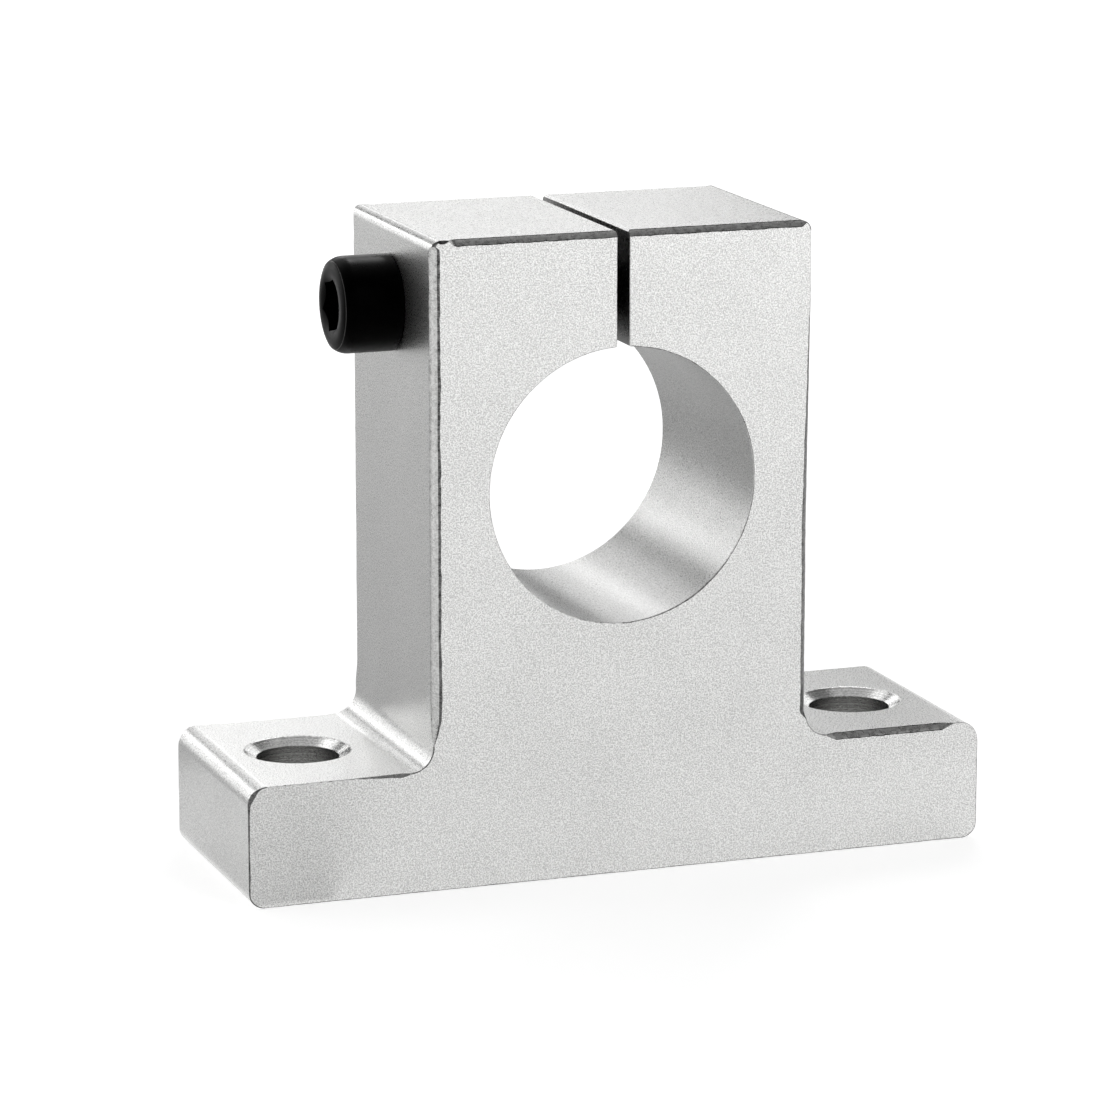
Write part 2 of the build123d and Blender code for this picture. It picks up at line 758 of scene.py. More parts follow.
def straight(start: Pair, end: Pair, step: float, wall: Finish = Finish.BLASTED) -> Stretch:
    """Straight stretch: start + t * (end - start), with the left of its direction inward.

    Args:
        start: (x, z) of its first point.
        end: (x, z) of its last point.
        step: greatest distance between two points.
        wall: finish of the wall along it.

    Returns:
        The stretch.
    """
    run = np.array(end) - np.array(start)
    length = float(np.hypot(*run))
    share = np.linspace(0.0, 1.0, math.ceil(length / step) + 1)[:, None]
    left = np.array([-run[1], run[0]]) / length
    return Stretch(np.array(start) + share * run, np.ones_like(share) * left, wall)


def arc(
    centre: Pair,
    radius: float,
    start: float,
    sweep: float,
    count: int,
    wall: Finish = Finish.BLASTED,
) -> Stretch:
    """Round stretch: centre + radius * (cos a, sin a), for a from start to start + sweep.

    Inward is towards the centre where the sweep is positive, and away from it elsewhere.

    Args:
        centre: (x, z) of the centre.
        radius: radius of the arc.
        start: angle of the first point, in radians from +X towards +Z.
        sweep: signed angle from the first point to the last.
        count: number of steps.
        wall: finish of the wall along it.

    Returns:
        The stretch.
    """
    angles = start + sweep * np.linspace(0.0, 1.0, count + 1)
    spokes = np.stack([np.cos(angles), np.sin(angles)], axis=-1)
    return Stretch(np.array(centre) + radius * spokes, -math.copysign(1.0, sweep) * spokes, wall)


@dataclass(frozen=True)
class FiledEdge:
    """Flat left by a file along one straight edge between a sawn end and a wall.

    Attributes:
        edge: (x, z) of the two ends of the edge.
        wall: (x, z) direction that the wall beside the edge faces.
        gaps: how far inside the two ends of the edge the flat starts and ends. A gap under
            nought takes it past that end.
        width: how far the flat goes back from the edge on each of the two faces.
        fade: distance over which it comes in at its start, and goes out at its end.
        crown: how much it is rounded, as a share of its half width.
        back: whether it lies on the far end of the block.
        seed: seed of its unevenness.
        dark_borders: whether its border with the sawn end, and with the wall, is dark: painted shade.
        finish: finish of the flat between its borders.
        step: greatest distance between two rows of points along it.
        above: how far the cutter reaches out of the metal.
        outside: what the width is where the ramp is at nought: the cutter is just clear there.
        section: places of its points across it, as shares of its half width.
        swell: how much the width wavers, as a share of it.
        swell_waves: how often each wave of the width fits into the length.
        drift: how much the depth wavers, as a share of the width.
        drift_waves: how often each wave of the depth fits into the length.
        drift_seed: what the depth's seed has more than the width's.
    """

    edge: tuple[Pair, Pair]
    wall: Pair
    gaps: Pair = (0.0, 0.0)
    width: float = 0.00074
    fade: Pair = (0.002, 0.002)
    crown: float = 0.06
    back: bool = False
    seed: int = 1
    dark_borders: tuple[bool, bool] = (True, True)
    finish: Finish = Finish.FILED
    step: float = 0.0003
    above: float = 0.0006
    outside: float = -0.0001
    section: tuple[float, ...] = (-1.5, -0.84, -0.5, -0.2, 0.1, 0.4, 0.84, 1.5)
    swell: float = 0.05
    swell_waves: tuple[int, ...] = (3, 7, 19, 41)
    drift: float = 0.04
    drift_waves: tuple[int, ...] = (5, 13, 29)
    drift_seed: int = 50

    def cutter(self, half_depth: float) -> Shell:
        """Closed solid that takes the corner off, with the flat as its underside.

        Along the edge the flat's half width is width / sqrt(2) times a ramp that comes in and
        goes out, with a waver. Across it, a point at the share w of the half width lies half
        width * (1 + crown * w * w) below the corner, measured along the bisector of the two
        faces, and the drift is added to that.

        Args:
            half_depth: distance of the sawn ends from the middle of the block.

        Returns:
            The solid.
        """
        first, last = np.array(self.edge)
        ahead = (last - first) / np.hypot(*(last - first))
        start, end = first + self.gaps[0] * ahead, last - self.gaps[1] * ahead
        length = float(np.hypot(*(end - start)))
        along = np.linspace(0.0, length, math.ceil(length / self.step) + 1)
        ramp = np.minimum(along / self.fade[0], (length - along) / self.fade[1]).clip(0.0, 1.0)
        leg = self.outside + (self.width - self.outside) * ramp
        leg = leg * (1.0 + self.swell * waver(along, length, self.swell_waves, self.seed))
        drift = waver(along, length, self.drift_waves, self.seed + self.drift_seed)
        shift = self.drift * self.width * drift
        half = leg / DIAGONAL
        spread = np.maximum(half, -self.outside)[:, None]
        facing = 1.0 if self.back else -1.0
        end_side = np.array([0.0, facing, 0.0])
        wall_side = np.array([self.wall[0], 0.0, self.wall[1]])
        out = (end_side + wall_side) / DIAGONAL
        over = (wall_side - end_side) / DIAGONAL
        corner = start + along[:, None] / length * (end - start)
        edge = np.stack([corner[:, 0], np.full_like(along, facing * half_depth), corner[:, 1]], -1)
        across = np.array(self.section)
        sunk = half[:, None] + self.crown * spread * across**2 + shift[:, None]
        beside = spread * across
        sunk = np.column_stack([sunk, np.full((len(along), 2), -self.above)])
        beside = np.column_stack([beside, beside[:, -1], beside[:, 0]])
        rings = edge[:, None, :] - sunk[..., None] * out + beside[..., None] * over
        bands = np.full(rings.shape[1], self.finish)
        # A border in the BURR finish is painted shade: a dark line along the flat.
        bands[0] = Finish.BURR if self.dark_borders[0] else self.finish
        bands[len(across) - 2] = Finish.BURR if self.dark_borders[1] else self.finish
        return Shell(rings, np.ones((len(along) - 1, 1), dtype=int) * bands)


@dataclass
class SupportBlock:
    """The aluminium block: its extruded section, sawn, bored, slit, drilled and filed.

    Attributes:
        half_base: half the length of the base.
        half_depth: half the depth, from one sawn end to the other.
        height: height of the top above the underside.
        shaft_height: height of the bore's axis.
        bore_radius: radius of the bore.
        half_upright: half the width of the upright.
        hole_place: distance of each fixing hole from the middle.
        hole_radius: radius of the fixing holes.
        screw_height: height of the screw's axis.
        tip_place: how far past the middle the screw's tip lies.
        foot_thickness: height of the feet.
        foot_corner_radius: radius of their upper corners.
        heel_radius: radius of their lower corners.
        top_corner_radius: radius of the upright's upper corners.
        brow_angle: angle of such a corner, from the top down, that the file has touched.
        inner_corner_radius: radius between the upright and the feet.
        half_slit: half the width of the slit.
        slit_mouth_radius: radius of the slit's edges at the top.
        slit_root_radius: radius of its edges at the bore.
        edge_break: usual width of the rims at the sawn ends.
        edge_rows: rows of points across a rim.
        edge_swell: how much a rim's width wavers, as a share of it.
        edge_waves: how often each wave of the width fits into the outline.
        edge_seed: seed of that waver.
        countersink_radius: greatest radius of the countersinks.
        countersink_rise: height of their cone divided by its width.
        lip_width: width of the worn lip round a countersink.
        lip_drop: depth of that lip.
        underside_break: width of the fixing holes' broken edge underneath.
        clearance_hole_radius: radius of the plain hole in the left cheek.
        clearance_hole_mouth: width of its broken edge.
        tapped_hole_radius: radius of the tapped hole at the thread's roots.
        tapped_hole_mouth: width of the bevel at its mouth.
        outside: how far the holes' cutters reach out of the metal.
        thread: thread of the tapped hole.
        line_step: greatest distance between two points of a straight stretch.
        bore_steps: steps round half the bore.
        corner_steps: steps round a small corner. A larger one has twice as many.
        around: points round a hole.
        sharp_degrees: angle above which an edge stays sharp.
        left_rims: rims of the outline's left half that aren't the usual one, by stretch.
        right_rims: those of its right half.
    """

    half_base: float
    half_depth: float
    height: float
    shaft_height: float
    bore_radius: float
    half_upright: float
    hole_place: float
    hole_radius: float
    screw_height: float
    tip_place: float
    foot_thickness: float = 0.0155
    foot_corner_radius: float = 0.0025
    heel_radius: float = 0.002
    top_corner_radius: float = 0.0013
    brow_angle: float = math.radians(50)
    inner_corner_radius: float = 0.003
    half_slit: float = 0.0008
    slit_mouth_radius: float = 0.0003
    slit_root_radius: float = 0.00025
    edge_break: float = 0.00014
    edge_rows: int = 4
    edge_swell: float = 0.35
    edge_waves: tuple[int, ...] = (41, 97, 233)
    edge_seed: int = 3
    countersink_radius: float = 0.0069
    countersink_rise: float = 0.6
    lip_width: float = 0.00025
    lip_drop: float = 0.0001
    underside_break: float = 0.0003
    clearance_hole_radius: float = 0.0042
    clearance_hole_mouth: float = 0.0003
    tapped_hole_radius: float = 0.00405
    tapped_hole_mouth: float = 0.0006
    outside: float = 0.001
    thread: Thread = field(default_factory=Thread)
    line_step: float = 0.001
    bore_steps: int = 120
    corner_steps: int = 12
    around: int = 128
    sharp_degrees: float = 28.0
    # Rims in the BURR finish, or with a dark border, are painted shade along the edges.
    left_rims: dict[str, Rim] = field(
        default_factory=lambda: {
            "brow": Rim(Finish.BURR, (1.0, 2.4, 3.6)),
            "shoulder": Rim(Finish.BURR, (3.6, 2.4, 1.4)),
            "side": Rim(Finish.BURR, (1.4, 1.0)),
            "fillet": Rim(Finish.BURR, (0.8,)),
            "foot_corner": Rim(Finish.BURR, (0.6, 1.1, 2.2, 2.8, 1.8)),
            "end": Rim(Finish.BURR, (1.8, 1.2, 1.2, 1.0)),
            "heel": Rim(Finish.BURR, (1.0,)),
            "underside": Rim(burr=True),
        }
    )
    right_rims: dict[str, Rim] = field(
        default_factory=lambda: {
            "bore": Rim(burr=True),
            "brow": Rim(Finish.BURR),
            "shoulder": Rim(Finish.BURR),
            "fillet": Rim(Finish.BURR, (0.8,)),
            "end": Rim(Finish.BURR, (0.8,)),
            "heel": Rim(Finish.BURR, (1.0,)),
            "underside": Rim(burr=True),
        }
    )

    def left_outline(self) -> dict[str, Stretch]:
        """Left half of the outline, from the bore's lowest point to the underside's middle.

        Returns:
            The stretches in the order in which they are walked, by name.
        """
        root = self.slit_root_radius
        root_place = self.half_slit + root
        root_rise = math.sqrt((self.bore_radius + root) ** 2 - root_place**2)
        root_height = self.shaft_height + root_rise
        lean = math.atan2(root_rise, root_place)
        mouth = self.slit_mouth_radius
        mouth_place = -self.half_slit - mouth
        shoulder = self.height - mouth
        corner, top = self.top_corner_radius, self.height
        inner, outer = self.inner_corner_radius, self.foot_corner_radius
        heel = self.heel_radius
        side, end = -self.half_upright, -self.half_base
        foot = self.foot_thickness
        steps, step = self.corner_steps, self.line_step
        slit = -self.half_slit
        bore_sweep = -QUARTER - lean
        brow = self.brow_angle
        return {
            "bore": arc(
                (0, self.shaft_height), self.bore_radius, -QUARTER, bore_sweep, self.bore_steps,
                Finish.BORED,
            ),
            "slit_root": arc((-root_place, root_height), root, -lean, lean, steps // 2, Finish.SAWN),
            "slit": straight((slit, root_height), (slit, shoulder), step, Finish.SAWN),
            "slit_mouth": arc((mouth_place, shoulder), mouth, 0, QUARTER, steps // 2),
            "top": straight((mouth_place, top), (side + corner, top), step),
            "brow": arc((side + corner, top - corner), corner, QUARTER, brow, steps, Finish.SCUFFED),
            "shoulder": arc(
                (side + corner, top - corner), corner, QUARTER + brow, QUARTER - brow, steps
            ),
            "side": straight((side, top - corner), (side, foot + inner), step),
            "fillet": arc((side - inner, foot + inner), inner, 0, -QUARTER, steps * 2),
            "foot": straight((side - inner, foot), (end + outer, foot), step),
            "foot_corner": arc((end + outer, foot - outer), outer, QUARTER, QUARTER, steps * 2),
            "end": straight((end, foot - outer), (end, heel), step),
            "heel": arc((end + heel, heel), heel, math.pi, QUARTER, steps * 2),
            "underside": straight((end + heel, 0), (0, 0), step),
        }

    def blank(self) -> Shell:
        """Section carried along the shaft, with its outline broken at both sawn ends.

        Each point of the outline moves inward by a * (1 - sin t) and lies a * (1 - cos t) from
        the sawn end, for t from 0 to a quarter turn, where a is the rim's width, which wavers.

        Returns:
            The solid, still without its holes and filed flats.
        """
        left = self.left_outline()
        outline = [(stretch, self.left_rims.get(name, Rim())) for name, stretch in left.items()]
        for name, stretch in reversed(left.items()):
            outline.append((stretch.mirrored(), self.right_rims.get(name, Rim()).mirrored()))
        counts = [len(stretch.points) - 1 for stretch, _ in outline]
        points = np.concatenate([stretch.points[:-1] for stretch, _ in outline])
        inward = np.concatenate([stretch.inward[:-1] for stretch, _ in outline])
        widths = np.concatenate([rim.spread(n) for (_, rim), n in zip(outline, counts)])
        walls = np.repeat([stretch.wall for stretch, _ in outline], counts)
        rims = np.repeat([rim.finish for _, rim in outline], counts)
        # A rim's outer band may take the BURR finish: painted shade along the edge.
        borders = np.repeat([Finish.BURR if rim.burr else rim.finish for _, rim in outline], counts)
        steps = np.hypot(*np.diff(points, axis=0, append=points[:1]).T)
        along = np.cumsum(steps) - steps
        uneven = 1.0 + self.edge_swell * waver(along, steps.sum(), self.edge_waves, self.edge_seed)
        width = self.edge_break * uneven * widths
        bend = np.linspace(0.0, QUARTER, self.edge_rows)[:, None]
        inset = width * (1.0 - np.sin(bend))
        sunk = width * (1.0 - np.cos(bend))
        inset = np.concatenate([inset, inset[::-1]])
        depth = np.concatenate([sunk - self.half_depth, self.half_depth - sunk[::-1]])
        section = points + inset[..., None] * inward
        rings = np.stack([section[..., 0], depth, section[..., 1]], axis=-1)
        finish = np.ones((len(rings) - 1, 1), dtype=int) * rims
        finish[self.edge_rows - 1] = walls
        finish[0] = finish[-1] = borders
        return Shell(rings, finish)

    def fixing_hole(self, side: int) -> Shell:
        """Cutter for the hole in one foot: drilled, countersunk, and broken underneath.

        Args:
            side: -1 for the left foot, 1 for the right one.

        Returns:
            The cutter.
        """
        radius, top = self.hole_radius, self.foot_thickness
        lip, rim = top - self.lip_drop, self.countersink_radius - self.lip_width
        beyond = self.outside
        profile = [
            (-beyond, radius + self.underside_break + beyond),
            (self.underside_break, radius),
            (lip - (rim - radius) * self.countersink_rise, radius),
            (lip, rim),
            (top, self.countersink_radius),
            (top + self.lip_drop, self.countersink_radius + self.lip_width),
        ]
        bands = [Finish.FILED, Finish.TURNED, Finish.TURNED, Finish.FILED, Finish.FILED]
        return turned(profile, (side * self.hole_place, 0, 0), (0, 0, 1), self.around, bands)

    def clearance_hole(self) -> Shell:
        """Cutter for the plain hole from the left side to the slit.

        Returns:
            The cutter.
        """
        radius, side = self.clearance_hole_radius, self.half_upright
        mouth, beyond = self.clearance_hole_mouth, self.outside
        profile = [
            (-side - beyond, radius + mouth + beyond),
            (-side + mouth, radius),
            (-self.half_slit / 2, radius),
        ]
        bands = [Finish.FILED, Finish.TAPPED]
        return turned(profile, (0, 0, self.screw_height), (1, 0, 0), self.around, bands)

    def tapped_hole(self) -> Shell:
        """Cutter for the tapped hole from the slit to the right side.

        Where the screw sits it is a plain hole. Beyond the screw's tip the radius is the
        greatest of three: the thread's root less the thread, a cone of 45 degrees that ends
        the plain part, and the cone of the mouth.

        Returns:
            The cutter.
        """
        radius, side = self.tapped_hole_radius, self.half_upright
        start, end = self.half_slit / 2, side + self.outside
        run_in = self.tip_place + self.thread.pitch / 2
        heights = np.append(start, self.thread.rows(run_in, end))
        threads = radius - self.thread.sunk(heights, self.around)
        plain = radius - (heights - run_in).clip(0.0)
        mouth = radius + self.tapped_hole_mouth - (side - heights)
        radii = np.maximum(threads, np.maximum(plain, mouth)[:, None])
        bands = np.full(len(heights) - 1, Finish.TAPPED)
        return wound(heights, radii, (0, 0, self.screw_height), (1, 0, 0), bands)

    def filed_edges(self) -> list[FiledEdge]:
        """The flats that the file left, in the photograph and, by their like, out of its sight.

        Returns:
            The flats in the order in which they are cut.
        """
        top, side, end = self.height, self.half_upright, self.half_base
        foot, inner = self.foot_thickness, self.inner_corner_radius
        slit, over_fillet = self.half_slit / 2, self.foot_thickness + inner
        up, left, right = (0.0, 1.0), (-1.0, 0.0), (1.0, 0.0)
        top_left = (((-side, top), (-slit, top)), up)
        top_right = (((slit, top), (side, top)), up)
        left_foot = (((-end, foot), (-side - inner, foot)), up)
        right_foot = (((side + inner, foot), (end, foot)), up)
        left_side = (((-side, over_fillet), (-side, top)), left)
        right_side = (((side, over_fillet), (side, top)), right)
        sudden = 0.00005
        open_side = (True, False)
        nick_end = side - slit - 0.0026
        return [
            FiledEdge(*top_left, gaps=(0.0021, 0.0), fade=(0.001, sudden), seed=1),
            # A whole flat in the BURR finish: painted shade, a dark strip along the edge.
            FiledEdge(
                *top_left, gaps=(0.0006, nick_end), width=0.0004, fade=(0.0005, 0.0008), seed=13,
                finish=Finish.BURR,
            ),
            FiledEdge(*top_right, gaps=(0.0, 0.0002), fade=(sudden, 0.0011), seed=2),
            FiledEdge(*right_foot, gaps=(-0.0006, 0.003), fade=(0.0018, 0.002), seed=3),
            FiledEdge(*left_foot, gaps=(0.01, -0.0008), width=0.0005, fade=(0.012, 0.002), seed=4),
            FiledEdge(*top_left, gaps=(0.0006, 0.0), fade=(0.0016, sudden), back=True, seed=5),
            FiledEdge(*top_right, gaps=(0.0, 0.0004), fade=(sudden, 0.0014), back=True, seed=6),
            FiledEdge(*left_foot, gaps=(0.004, -0.0008), width=0.0006, back=True, seed=8),
            FiledEdge(
                *left_side, gaps=(-0.0008, 0.0002), width=0.0008, fade=(0.004, 0.0008), crown=0.2,
                seed=9, dark_borders=open_side,
            ),
            # A whole flat in the BURR finish: painted shade, a dark strip along the edge.
            FiledEdge(
                *right_side, gaps=(-0.0008, 0.001), width=0.0008, fade=(0.001, 0.035), seed=11,
                finish=Finish.BURR,
            ),
            FiledEdge(
                *right_side, gaps=(0.0, 0.0004), width=0.0006, fade=(0.004, 0.001), crown=0.2,
                back=True, seed=10, dark_borders=open_side,
            ),
            FiledEdge(
                *left_side, gaps=(0.0, 0.0004), width=0.0006, fade=(0.004, 0.0006), crown=0.2,
                back=True, seed=12, dark_borders=open_side,
            ),
        ]

    def piece(self, materials: list[bpy.types.Material]) -> bpy.types.Object:
        """Build the block.

        Args:
            materials: one for each finish.

        Returns:
            The finished object.
        """
        made = self.blank().piece("dressed_block", materials)
        holes = [self.fixing_hole(-1), self.fixing_hole(1), self.clearance_hole(), self.tapped_hole()]
        cutters = holes + [edge.cutter(self.half_depth) for edge in self.filed_edges()]
        cut(made, [tool.piece(f"cutter_{n}", materials) for n, tool in enumerate(cutters)])
        shade(made, self.sharp_degrees)
        return made


@dataclass
class ClampScrew:
    """The socket-head cap screw that draws the two cheeks together.

    Attributes:
        seat: middle of the face that its head bears on.
        head_radius: radius of the head.
        head_height: height of the head.
        length: length under the head.
        thread_radius: radius of the plain part and of the thread's crests.
        flat_radius: radius at which the head's end starts to fall.
        edge_radius: radius of the edge round that end.
        edge_drop: how far the edge lies below the end.
        edge_break: width and height of the rubbed band on the edge.
        taper_height: height over which the head narrows to the edge.
        taper_rows: rings of the domed end, and of the taper.
        seat_chamfer: chamfer round the face that bears on the block.
        socket_flats: width of the socket across its flats.
        socket_depth: depth of its hexagon.
        socket_mouth_radius: radius of the bevel round its mouth.
        socket_mouth_depth: how far the bevel reaches down in the middle of a flat.
        socket_point_angle: half the angle of the drilled point under it.
        socket_corner_angle: direction of one of its corners.
        plain_length: length of the shank that has no thread.
        lead_in: chamfer of the tip.
        run_out: length over which the thread deepens.
        thread: its thread.
        around: points round a ring.
        sharp_degrees: angle above which an edge stays sharp.
    """

    seat: Triple
    head_radius: float
    head_height: float
    length: float
    thread_radius: float = 0.004
    flat_radius: float = 0.0044
    edge_radius: float = 0.0055
    edge_drop: float = 0.0003
    edge_break: float = 0.00008
    taper_height: float = 0.0019
    taper_rows: int = 9
    seat_chamfer: float = 0.0003
    socket_flats: float = 0.0061
    socket_depth: float = 0.004
    socket_mouth_radius: float = 0.00365
    socket_mouth_depth: float = 0.00035
    socket_point_angle: float = math.radians(60)
    socket_corner_angle: float = math.radians(-45)
    plain_length: float = 0.012
    lead_in: float = 0.0009
    run_out: float = 0.002
    thread: Thread = field(default_factory=Thread)
    around: int = 96
    sharp_degrees: float = 35.0

    def socket_rings(self) -> tuple[Floats, Floats]:
        """Rings of the socket from the drilled point out to its mouth.

        The hexagon's radius is half its flats / cos of the angle from the middle of the flat.
        Its bevel is a cone, so the bevel's lower edge dips where the hexagon is narrow.

        Returns:
            Heights and radii, both of shape (rows, around).
        """
        even = np.ones(self.around)
        angles = np.arange(self.around) * TURN / self.around - self.socket_corner_angle
        sixth = TURN / 6
        inscribed = self.socket_flats / 2
        hexagon = inscribed / np.cos(angles % sixth - sixth / 2)
        floor = self.head_height - self.socket_depth
        point = floor - inscribed / math.tan(self.socket_point_angle)
        slope = self.socket_mouth_depth / (self.socket_mouth_radius - inscribed)
        bevel = self.head_height - (self.socket_mouth_radius - hexagon) * slope
        heights = np.stack([point * even, floor * even, floor * even, bevel, self.head_height * even])
        mouth = self.socket_mouth_radius * even
        radii = np.stack([0 * even, inscribed * even, hexagon, hexagon, mouth])
        return heights, radii

    def head_rings(self) -> tuple[Floats, Floats]:
        """Rings of the head: its domed end, the edge round that, the taper, and the side.

        The dome falls with the square of the share of the way from the flat to the edge. The
        taper's radius falls short of the side's with the square of the share of its height.

        Returns:
            Heights and radii, both of shape (rows, around).
        """
        share = np.linspace(0.0, 1.0, self.taper_rows)
        dome = self.flat_radius + (self.edge_radius - self.flat_radius) * share
        dome_heights = self.head_height - self.edge_drop * share**2
        low = self.head_height - self.taper_height
        high = self.head_height - self.edge_drop - self.edge_break
        short = self.head_radius - self.edge_radius - self.edge_break
        taper = self.head_radius - short * share[::-1] ** 2
        taper_heights = low + (high - low) * share[::-1]
        foot = [self.head_radius, self.head_radius - self.seat_chamfer, self.thread_radius]
        heights = np.concatenate([dome_heights, taper_heights, [self.seat_chamfer, 0, 0]])
        radii = np.concatenate([dome, taper, foot])
        return heights[:, None] * np.ones(self.around), radii[:, None] * np.ones(self.around)

    def shank_rings(self) -> tuple[Floats, Floats]:
        """Rings of the shank from its plain part to its tip.

        The radius is the thread's, sunk by its depth times the share of the run-out that is
        passed, or the cone of 45 degrees at the tip where that is less.

        Returns:
            Heights and radii, both of shape (rows, around).
        """
        heights = self.thread.rows(-self.plain_length, -self.length)
        share = ((-heights - self.plain_length) / self.run_out).clip(0.0, 1.0)[:, None]
        radii = self.thread_radius - share * self.thread.sunk(heights, self.around)
        tip = self.thread_radius - self.lead_in + (heights + self.length)
        radii = np.minimum(radii, tip[:, None])
        return heights[:, None] * np.ones(self.around), radii

    def piece(self, materials: list[bpy.types.Material]) -> bpy.types.Object:
        """Build the screw.

        Args:
            materials: one for each skin.

        Returns:
            The finished object.
        """
        parts = [self.socket_rings(), self.head_rings(), self.shank_rings()]
        heights = np.concatenate([part[0] for part in parts])
        radii = np.concatenate([part[1] for part in parts])
        bands = np.full(len(heights) - 1, Skin.BLACK)
        bands[len(parts[0][0]) + self.taper_rows - 1] = Skin.RUBBED
        made = wound(heights, radii, self.seat, (-1, 0, 0), bands).piece("dressed_screw", materials)
        shade(made, self.sharp_degrees)
        return made


@dataclass(frozen=True)
class Camera:
    """Camera of the photograph, found by fitting the block's edges to it.

    Attributes:
        picture_side: side of the square photograph, in its pixels.
        focal_pixels: focal length in the same pixels.
        place: where the camera stands.
        azimuth: how far it looks to the right of +Y, in degrees.
        elevation: how far it looks down, in degrees.
        sensor: width of the sensor, in millimetres.
        nearest: distance from which it sees.
    """

    picture_side: float = 1100.0
    focal_pixels: float = 5041.0
    place: Triple = (-0.21571, -0.58997, 0.17954)
    azimuth: float = 19.748
    elevation: float = 12.663
    sensor: float = 36.0
    nearest: float = 0.01

    def set_up(self) -> None:
        """Make the camera and look through it."""
        lens = bpy.data.cameras.new("camera")
        lens.sensor_width = self.sensor
        lens.lens = self.sensor * self.focal_pixels / self.picture_side
        lens.clip_start = self.nearest
        made = bpy.data.objects.new("camera", lens)
        made.location = self.place
        made.rotation_euler = (math.radians(90 - self.elevation), 0, math.radians(-self.azimuth))
        bpy.context.scene.collection.objects.link(made)
        bpy.context.scene.camera = made


@dataclass(frozen=True)
class SoftBox:
    """Flat lamp at a fixed distance from the object, which it faces.

    Attributes:
        name: name of the lamp.
        azimuth: direction in which it hangs, in degrees from +Y towards +X.
        elevation: how high above the horizon it hangs, in degrees.
        width: angle that its width takes, in degrees.
        height: angle that its height takes, in degrees.
        brightness: its radiance, where 1 is white.
        distance: how far from the target it hangs.
        target: point that it faces.
    """

    name: str
    azimuth: float
    elevation: float
    width: float
    height: float
    brightness: float
    distance: float = 1.2
    target: Triple = (0.0, 0.0, 0.04)

    def set_up(self) -> None:
        """Hang the lamp. Its power is its radiance times pi times its area."""
        azimuth, elevation = math.radians(self.azimuth), math.radians(self.elevation)
        level = Vector((math.sin(azimuth), math.cos(azimuth), 0.0)) * math.cos(elevation)
        away = (level + Vector((0.0, 0.0, math.sin(elevation)))) * self.distance
        light = bpy.data.lights.new(self.name, "AREA")
        light.shape = "RECTANGLE"
        light.size = 2.0 * self.distance * math.tan(math.radians(self.width / 2))
        light.size_y = 2.0 * self.distance * math.tan(math.radians(self.height / 2))
        light.energy = self.brightness * math.pi * light.size * light.size_y
        made = bpy.data.objects.new(self.name, light)
        made.location = Vector(self.target) + away
        made.rotation_euler = (-away).to_track_quat("-Z", "Y").to_euler()
        bpy.context.scene.collection.objects.link(made)


@dataclass(frozen=True)
class Card:
    """Dull card by the object. Only reflections show it: no camera or shadow does.

    Attributes:
        name: name of the card.
        corner: one corner.
        first: side that starts at the corner.
        second: the other side that starts there.
        colour: its grey.
        glow: radiance of its own.
    """

    name: str
    corner: Triple
    first: Triple
    second: Triple
    colour: float
    glow: float

    def set_up(self) -> None:
        """Put the card in its place."""
        start, first, second = (np.array(side) for side in (self.corner, self.first, self.second))
        corners = start + np.array([0 * first, first, first + second, second])
        mesh = bpy.data.meshes.new(self.name)
        mesh.from_pydata(corners, [], [(0, 1, 2, 3)])
        sheet = NodeSheet(self.name, roughness=1.0, specular_ior_level=0.0)
        sheet.shader.inputs["Base Color"].default_value = grey(self.colour)
        sheet.shader.inputs["Emission Color"].default_value = WHITE
        sheet.shader.inputs["Emission Strength"].default_value = self.glow
        mesh.materials.append(sheet.material)
        made = bpy.data.objects.new(self.name, mesh)
        made.visible_camera = False
        made.visible_diffuse = False
        made.visible_shadow = False
        bpy.context.scene.collection.objects.link(made)


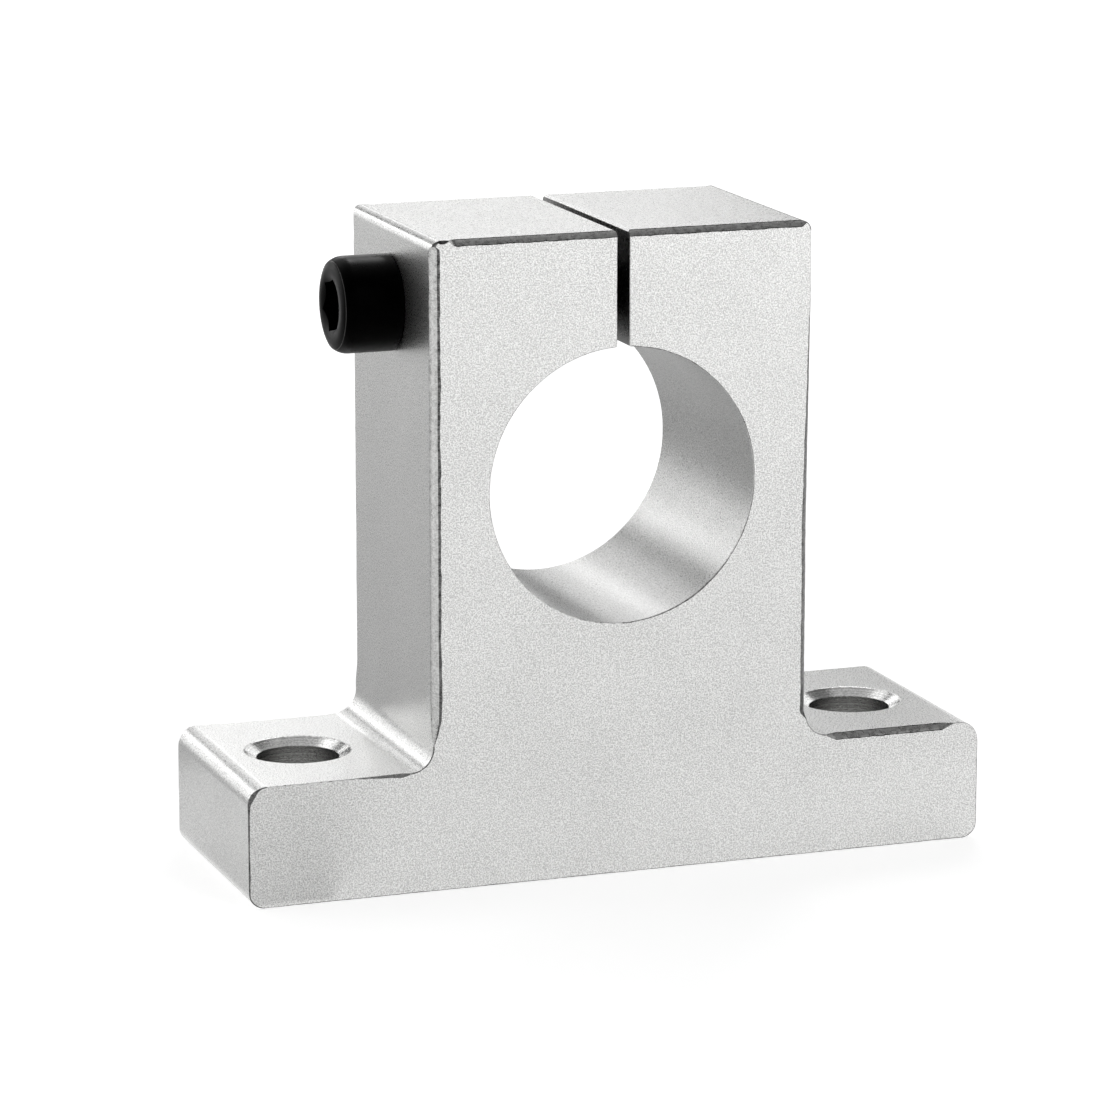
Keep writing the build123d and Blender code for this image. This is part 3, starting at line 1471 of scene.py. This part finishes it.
@dataclass(frozen=True)
class Studio:
    """Studio for product photographs: pale floor, dim room, soft boxes and cards.

    Attributes:
        floor_reach: half the side of the floor.
        floor_colour: colour of the floor.
        floor_lift: light that the camera and the metal see in the floor besides its own.
        room_brightness: radiance of the room round the lamps.
        boxes: the soft boxes, each with its azimuth, elevation, width, height and brightness.
        cards: the cards, each with its corner, two sides, colour and glow.
    """

    floor_reach: float = 8.0
    floor_colour: float = 0.8
    floor_lift: float = 0.585
    room_brightness: float = 0.15
    boxes: tuple[SoftBox, ...] = (
        SoftBox("back_box", 16, 19.5, 15, 18, 1.28),
        SoftBox("low_back_box", -16, 14.5, 14, 12, 2.8),
        SoftBox("low_left_box", -25, 6, 12, 9, 1.4),
        SoftBox("upper_back_box", 3, 23.5, 20, 13, 1.55),
        SoftBox("back_left_box", -40, 12, 24, 22, 1.4),
        SoftBox("left_box", -66, 18, 24, 34, 1.3),
        SoftBox("high_left_box", -55, 48, 50, 26, 0.5),
        SoftBox("back_right_box", 45, 16, 34, 30, 1.0),
        SoftBox("high_back_box", 0, 48, 40, 20, 0.9),
        SoftBox("left_side_box", 255, 20, 40, 38, 0.7),
        SoftBox("right_side_box", 95, 18, 40, 36, 0.7),
        SoftBox("over_box", 0, 78, 50, 40, 0.3),
        SoftBox("key_box", 150, 22, 32, 42, 2.0),
        SoftBox("fill_box", 185, 22, 36, 42, 0.5),
        SoftBox("screw_box", 27, 42, 14, 16, 4.0),
    )
    cards: tuple[Card, ...] = (
        Card("left_mat", (-0.5, 0.05, 0.0008), (0.48, 0, 0), (0, 0.75, 0), 0.7, 0.08),
        Card("grey_mat", (-0.1, 0.06, 0.0005), (0.18, 0, 0), (0, 0.36, 0), 0.7, 0.14),
        Card("end_mat", (-0.15, -0.03, 0.0005), (0.1, 0, 0), (0, 0.09, 0), 0.8, 0.3),
        Card("front_mat", (-0.038, -0.0165, 0.0003), (-0.12, 0, 0), (0.029, -0.0685, 0), 0.7, 0.37),
        Card("middle_mat", (-0.012, -0.048, 0.0003), (0.095, 0, 0), (0.035, -0.125, 0), 0.7, 0.53),
    )

    def floor(self) -> None:
        """Make the floor. Its lift is only for camera, glossy and transmission rays."""
        reach = self.floor_reach
        corners = np.array([(-1, -1, 0), (1, -1, 0), (1, 1, 0), (-1, 1, 0)]) * reach
        mesh = bpy.data.meshes.new("floor")
        mesh.from_pydata(corners, [], [(0, 1, 2, 3)])
        sheet = NodeSheet("pale_floor", roughness=1.0, specular_ior_level=0.0)
        sheet.shader.inputs["Base Color"].default_value = grey(self.floor_colour)
        sheet.shader.inputs["Emission Color"].default_value = WHITE
        rays = sheet.tree.nodes.new("ShaderNodeLightPath").outputs
        seen = sheet.summed(
            sheet.summed(rays["Is Camera Ray"], rays["Is Glossy Ray"]), rays["Is Transmission Ray"]
        )
        lift = sheet.ranged(seen, Contrast.WHOLE, (0.0, self.floor_lift))
        sheet.join(lift, sheet.shader.inputs["Emission Strength"])
        mesh.materials.append(sheet.material)
        made = bpy.data.objects.new("floor", mesh)
        bpy.context.scene.collection.objects.link(made)

    def room(self) -> None:
        """Make the world: an even dim grey."""
        world = bpy.data.worlds.new("room")
        bpy.context.scene.world = world
        world.use_nodes = True
        background = world.node_tree.nodes["Background"]
        background.inputs["Color"].default_value = WHITE
        background.inputs["Strength"].default_value = self.room_brightness

    def set_up(self) -> None:
        """Build the floor, the room, the lamps and the cards, and set the plain view."""
        self.floor()
        self.room()
        for thing in (*self.boxes, *self.cards):
            thing.set_up()
        bpy.context.scene.view_settings.view_transform = "Standard"


def named(entries: list[dict], name: str) -> dict:
    """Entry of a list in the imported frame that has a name."""
    return next(entry for entry in entries if entry["name"] == name)


def main() -> None:
    """Build the block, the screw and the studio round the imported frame."""
    logging.basicConfig(level=logging.INFO, format="%(name)s: %(message)s")
    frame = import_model()
    Camera().set_up()
    Studio().set_up()
    log.info("studio and camera stand")

    mounts = frame["record"]["mounts"]
    bore, bolts = named(mounts, "shaft_bore"), named(mounts, "base_bolts")
    seat = tuple(named(frame["joints"], "clamp_screw_turn")["pos_m"])
    block_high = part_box("support_block")[1]
    screw_low, screw_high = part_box("clamp_screw")
    block = SupportBlock(
        half_base=block_high.x,
        half_depth=block_high.y,
        height=block_high.z,
        shaft_height=bore["pos_m"][2],
        bore_radius=bore["dims"]["r_mm"] / METRE,
        half_upright=-seat[0],
        hole_place=bolts["dims"]["spacing_x_mm"] / METRE / 2,
        hole_radius=bolts["dims"]["hole_r_mm"] / METRE,
        screw_height=seat[2],
        tip_place=screw_high.x,
    )
    finishes = {
        Finish.BLASTED: BlastedAluminium(),
        Finish.FILED: FiledAluminium(),
        # Nearly black filed finish: painted shade for the dark lines along the edges.
        Finish.BURR: FiledAluminium(name="filed_burr", brightness=(0.04, 0.2)),
        Finish.TURNED: TurnedAluminium(hole_place=block.hole_place),
        # Dark colour: painted shade inside the narrow slit.
        Finish.SAWN: FiledAluminium(name="sawn_aluminium", brightness=(0.16, 0.3)),
        Finish.TAPPED: FiledAluminium(name="tapped_aluminium", brightness=(0.45, 0.65)),
        Finish.SCUFFED: FiledAluminium(name="scuffed_aluminium", brightness=(0.3, 0.62)),
        # Darker than the blasted skin: painted shade inside the bore.
        Finish.BORED: BlastedAluminium(name="bored_aluminium", brightness=(0.33, 0.62)),
    }
    materials = [finishes[finish].material() for finish in Finish]
    dressed_block = block.piece(materials)
    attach(dressed_block, "block")
    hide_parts("support_block")
    log.info("block has %d faces", len(dressed_block.data.polygons))

    screw = ClampScrew(
        seat=seat,
        head_radius=(screw_high.z - screw_low.z) / 2,
        head_height=seat[0] - screw_low.x,
        length=screw_high.x - seat[0],
    )
    skins = {
        Skin.BLACK: BlackOxide(),
        Skin.RUBBED: BlackOxide(
            name="rubbed_oxide", gloss=0.3, face_gloss=1.0, roughness=(0.2, 0.3),
            brightness=(0.01, 0.03),
        ),
    }
    dressed_screw = screw.piece([skins[skin].material() for skin in Skin])
    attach(dressed_screw, "screw")
    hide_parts("clamp_screw")
    log.info("screw has %d faces", len(dressed_screw.data.polygons))


if __name__ == "__main__":
    main()
